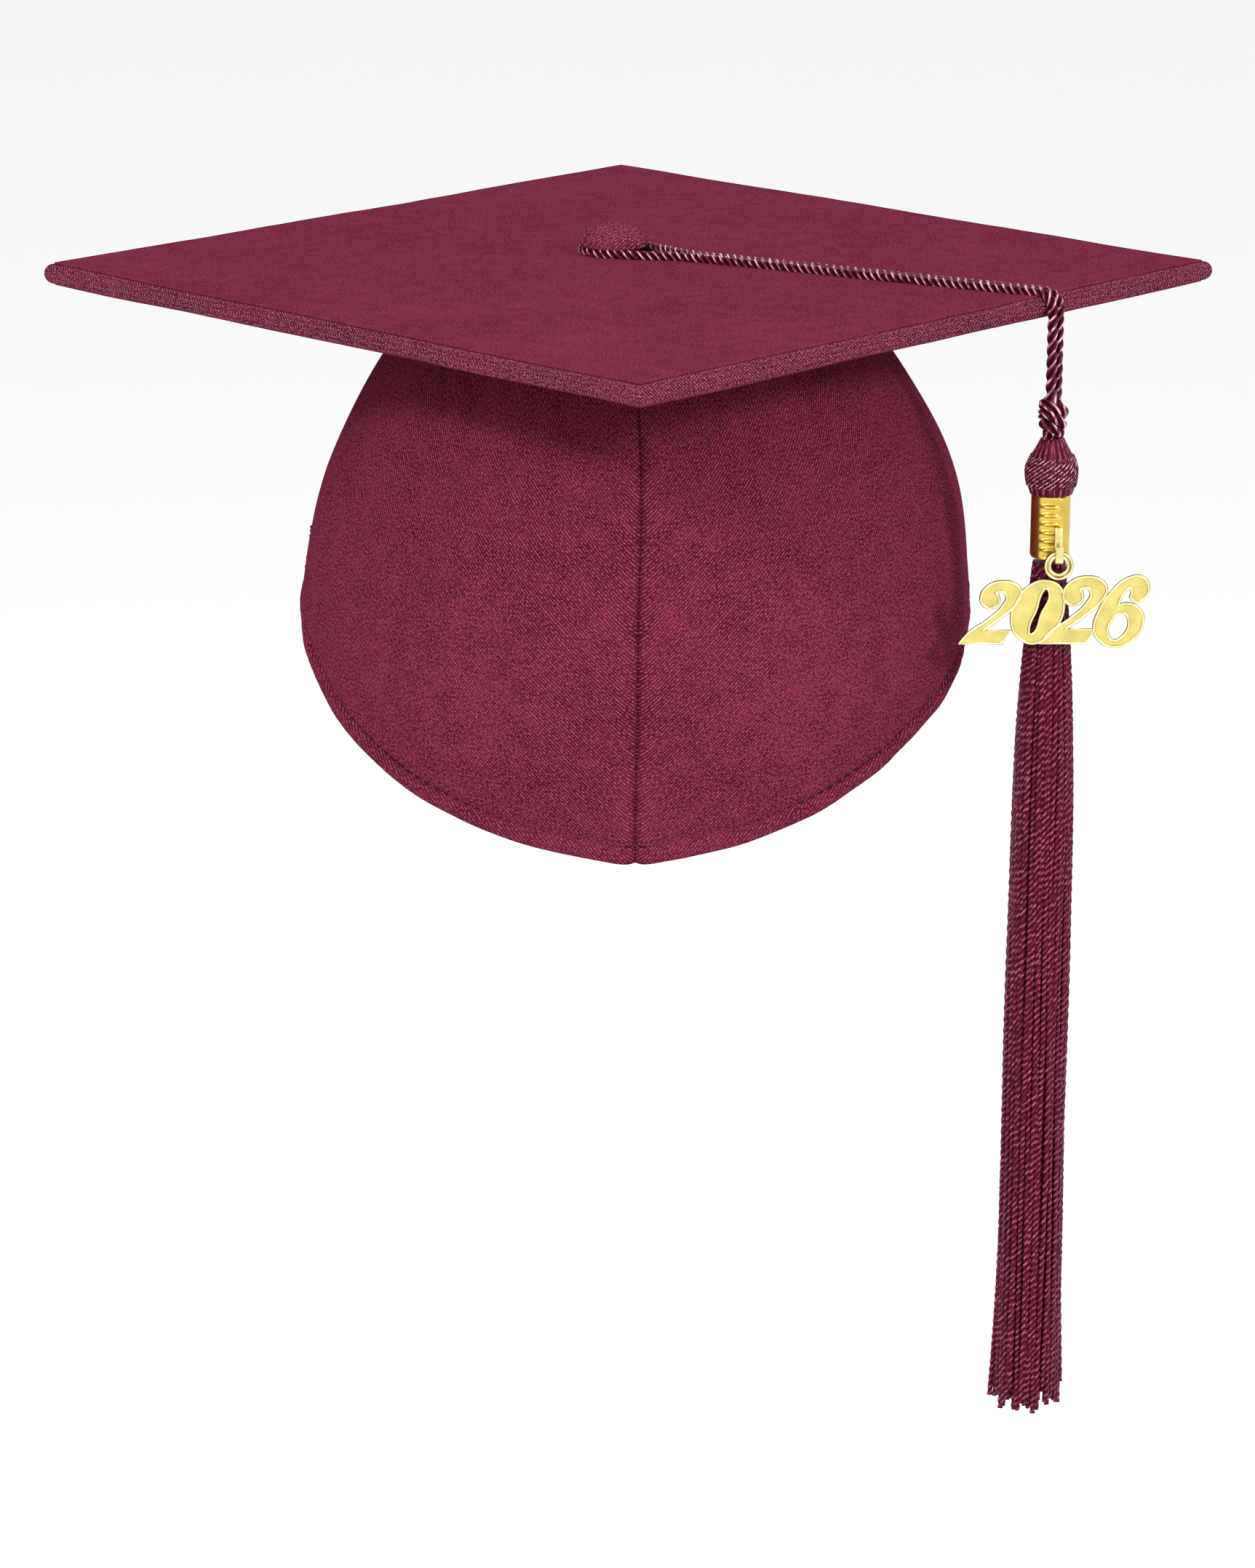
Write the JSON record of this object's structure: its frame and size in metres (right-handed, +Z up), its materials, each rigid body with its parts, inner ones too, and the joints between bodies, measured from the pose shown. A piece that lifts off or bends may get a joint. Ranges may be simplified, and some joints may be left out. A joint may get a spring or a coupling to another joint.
{
  "type": "graduation cap",
  "caption": "Square-topped graduation cap with a soft elasticated crown, a button, and a corded tassel with a metal sleeve and year charm that turns, swings and sways.",
  "frame": {"origin": "centre of the head opening, level with the lower end of the side seams", "axes": "+Z up along the head, -Y forwards through the centre-front seam and the board's front corner, +X to the right as seen from the front"},
  "size_m": [0.3408, 0.3408, 0.3472],
  "materials": {
    "twill": "satin polyester twill",
    "rayon": "glossy rayon thread",
    "cardboard": "matt greyboard",
    "interfacing": "bonded fibre sheet",
    "tape": "woven tape",
    "elastic": "braided elastic",
    "button_plastic": "moulded",
    "steel": "zinc plated",
    "gilt": "gold coloured plating"
  },
  "bodies": {
    "cap": {"board_core": "cardboard", "board_cover_top": "twill", "board_cover_bottom": "twill", "edge_roll_front_right": "twill", "edge_roll_back_right": "twill", "edge_roll_back_left": "twill", "edge_roll_front_left": "twill", "button_core": "button_plastic", "button_cover": "twill", "button_post": "steel", "button_washer": "steel", "crown_tip": "twill", "crown_front_left": "twill", "crown_front_right": "twill", "crown_back_left": "twill", "crown_back_right": "twill", "front_interfacing_left": "interfacing", "front_interfacing_right": "interfacing", "hem_front_left": "twill", "hem_front_right": "twill", "front_seam_tape": "tape", "elastic_casing": "twill", "elastic_band": "elastic"},
    "board_cord": {"cord_loop": "rayon"},
    "hanging_cord": {"cord_drop_left": "rayon", "cord_drop_right": "rayon"},
    "tassel": {"cord_knot": "rayon", "tassel_head": "rayon", "tassel_core": "rayon", "tassel_skirt": "rayon", "ferrule": "gilt", "charm_hook": "gilt"},
    "charm": {"year_charm": "gilt"}
  },
  "joints": [
    {"name": "tassel_turn", "type": "hinge", "parent": "cap", "child": "board_cord", "pos_m": [-0.0043, 0.016, 0.0986], "axis": [0, 0, 1], "range_deg": [-30, 0]},
    {"name": "cord_swing", "type": "hinge", "parent": "board_cord", "child": "hanging_cord", "pos_m": [0.11879, -0.05374, 0.091], "axis": [-0.7071, -0.7071, 0], "range_deg": [0, 60]},
    {"name": "tassel_sway", "type": "hinge", "parent": "hanging_cord", "child": "tassel", "pos_m": [0.11879, -0.05374, 0.0655], "axis": [0.7071, -0.7071, 0], "range_deg": [-30, 30]},
    {"name": "charm_swing", "type": "hinge", "parent": "tassel", "child": "charm", "pos_m": [0.12059, -0.06234, 0.0234], "axis": [0, 1, 0], "range_deg": [-35, 35]}
  ]
}
